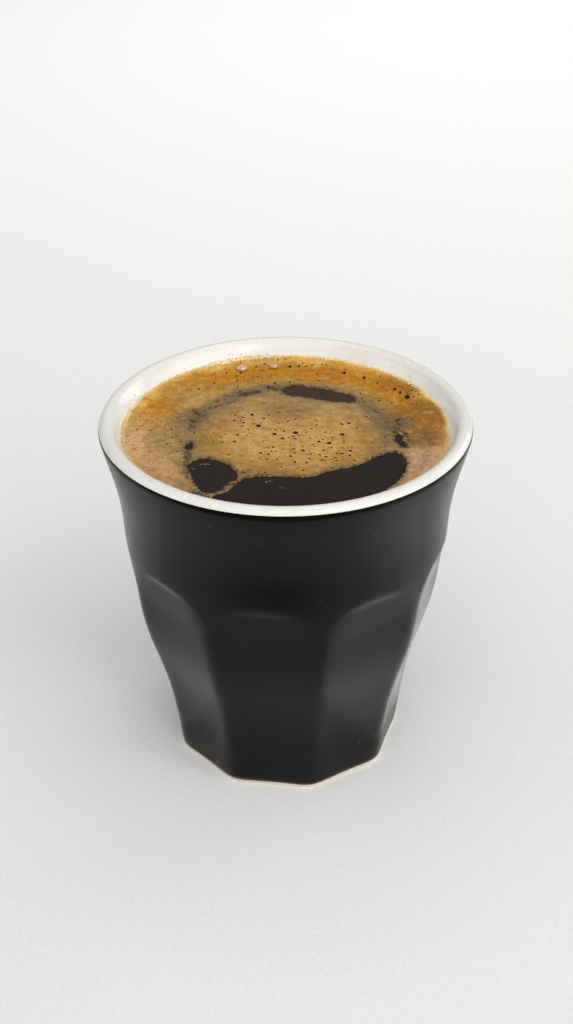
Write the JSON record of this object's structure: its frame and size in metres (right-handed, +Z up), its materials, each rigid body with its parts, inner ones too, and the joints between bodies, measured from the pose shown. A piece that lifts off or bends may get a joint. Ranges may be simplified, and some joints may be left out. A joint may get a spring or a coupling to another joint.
{
  "type": "long black coffee",
  "caption": "Black coffee filled almost to the brim, with a golden crema that is open in places, in a faceted ceramic tumbler, black outside and white inside.",
  "frame": {"origin": "middle of the foot, on the surface that the tumbler stands on", "axes": "+Z up along the tumbler's axis, -Y out through the middle of one panel, which is the front"},
  "size_m": [0.085, 0.085, 0.0872],
  "materials": {
    "black_glaze": "satin",
    "black_coffee": "gloss",
    "golden_crema": "matte"
  },
  "bodies": {
    "root": {"cup": "black_glaze", "coffee": "black_coffee", "crema": "golden_crema"}
  },
  "joints": []
}
